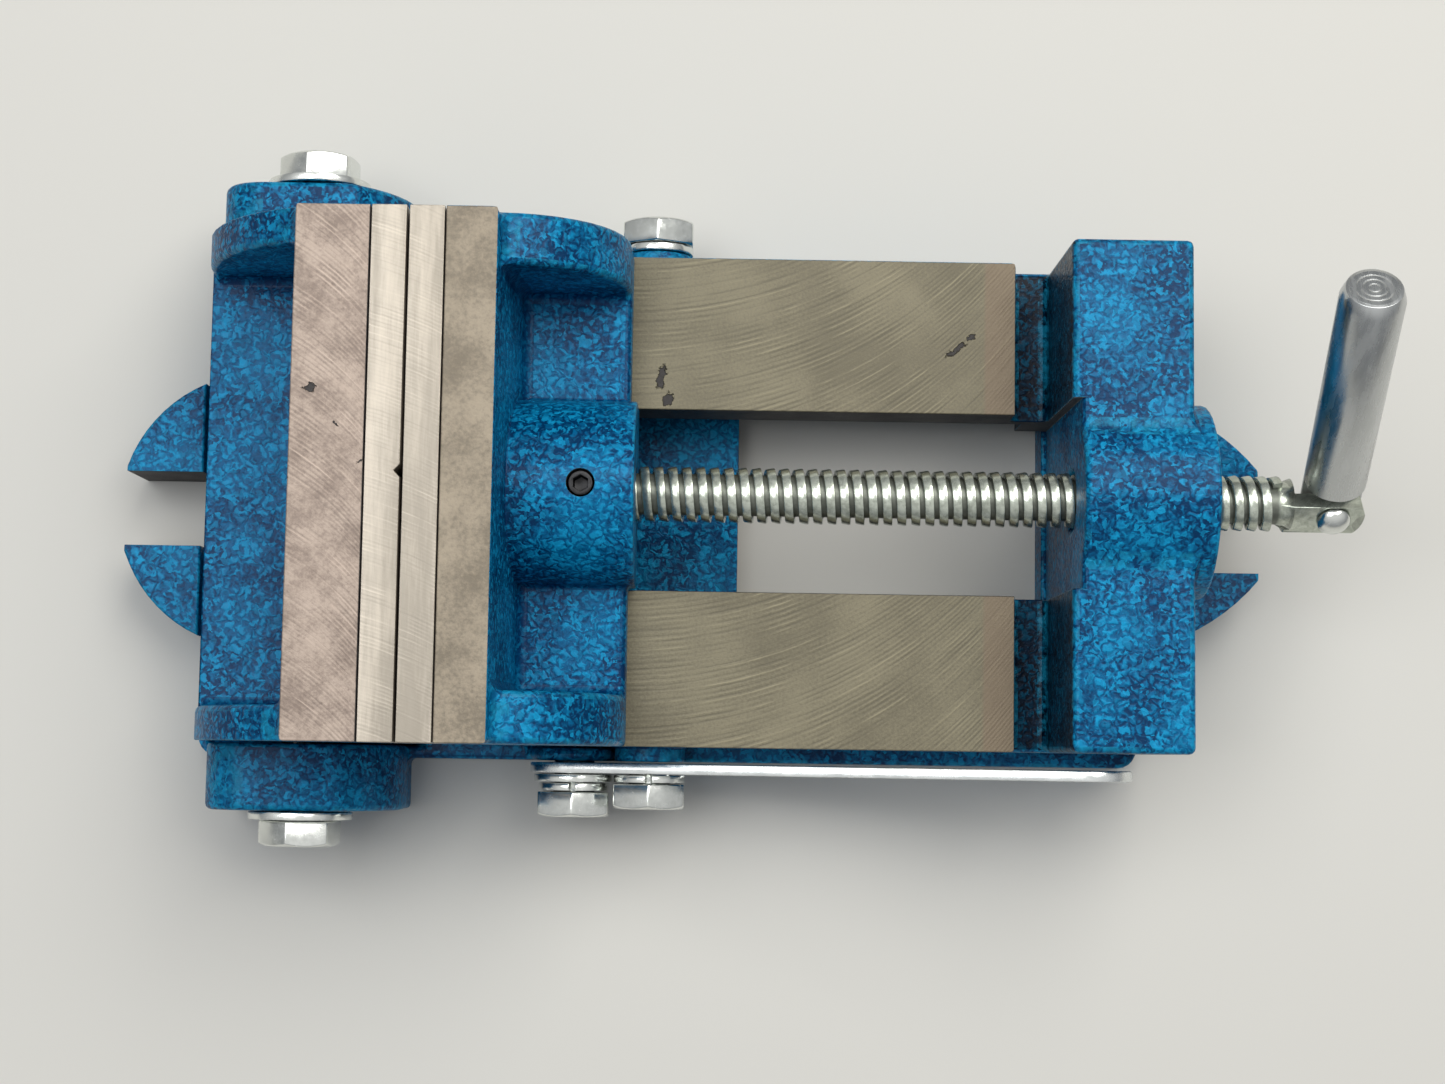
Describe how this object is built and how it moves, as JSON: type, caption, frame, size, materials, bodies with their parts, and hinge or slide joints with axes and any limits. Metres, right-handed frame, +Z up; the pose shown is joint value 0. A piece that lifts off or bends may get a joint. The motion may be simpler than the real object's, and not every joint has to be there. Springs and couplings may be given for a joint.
{
  "type": "drill press vise",
  "caption": "Tilting drill press vise: hinged cast body on a slotted base, sliding jaw drawn by a lead screw with a folding handle, slotted tilt strap.",
  "frame": {"origin": "under the middle of the base's crossbar, on the vise's centre plane, at the surface that the base stands on", "axes": "+X along the lead screw towards its handle, +Y across the jaws away from the tilt strap, +Z up"},
  "size_m": [0.1916, 0.1082, 0.0706],
  "materials": {
    "blue_hammered_enamel": "teal-blue hammered enamel on cast iron, with bare machined ways and jaw tops",
    "ground_steel": "ground and milled steel with fine cross lines",
    "bright_zinc": "bright zinc plating",
    "polished_steel": "smooth turned bar",
    "black_oxide_steel": "black oxide"
  },
  "bodies": {
    "base_frame": {"base": "blue_hammered_enamel", "strap_pivot_bolt": "bright_zinc", "strap_pivot_washer": "bright_zinc", "strap_pivot_spring_washer": "bright_zinc"},
    "tilting_body": {"vise_body": "blue_hammered_enamel", "fixed_jaw_plate": "ground_steel", "fixed_plate_screw_near": "black_oxide_steel", "fixed_plate_screw_far": "black_oxide_steel", "hinge_bolt_near": "bright_zinc", "hinge_bolt_far": "bright_zinc", "hinge_washer_near": "bright_zinc", "hinge_washer_far": "bright_zinc", "far_lock_bolt": "bright_zinc", "far_lock_washer": "bright_zinc"},
    "sliding_jaw": {"moving_jaw": "blue_hammered_enamel", "moving_jaw_plate": "ground_steel", "moving_plate_screw_near": "black_oxide_steel", "moving_plate_screw_far": "black_oxide_steel", "keeper_plate": "ground_steel", "keeper_screw_rear": "black_oxide_steel", "keeper_screw_front": "black_oxide_steel", "jaw_set_screw": "black_oxide_steel"},
    "screw": {"lead_screw": "bright_zinc", "handle_rivet": "bright_zinc"},
    "handle": {"handle_bar": "polished_steel"},
    "strap": {"tilt_strap": "bright_zinc"},
    "strap_lock": {"strap_lock_bolt": "bright_zinc", "strap_lock_washer": "bright_zinc"}
  },
  "joints": [
    {"name": "tilt", "type": "hinge", "parent": "base_frame", "child": "tilting_body", "pos_m": [-0.06, 0, 0.02], "axis": [0, -1, 0], "range_deg": [0, 90]},
    {"name": "jaw_slide", "type": "slide", "parent": "tilting_body", "child": "sliding_jaw", "axis": [1, 0, 0], "range_m": [0, 0.06]},
    {"name": "screw_turn", "type": "hinge", "parent": "sliding_jaw", "child": "screw", "pos_m": [0, 0, 0.0325], "axis": [1, 0, 0], "range_deg": [0, 10210]},
    {"name": "handle_fold", "type": "hinge", "parent": "screw", "child": "handle", "pos_m": [0.0966, 0, 0.0325], "axis": [0, 0.809, -0.5878], "range_deg": [-10, 95]},
    {"name": "strap_swing", "type": "hinge", "parent": "base_frame", "child": "strap", "pos_m": [-0.0183, -0.0415, 0.011], "axis": [0, -1, 0], "range_deg": [0, 115]},
    {"name": "lock_slide", "type": "slide", "parent": "strap", "child": "strap_lock", "axis": [0.9701, 0, 0.2425], "range_m": [0, 0.063]}
  ],
  "couplings": [
    {"joint": "screw_turn", "follows": "jaw_slide", "rad_per_m": 2968.4}
  ]
}
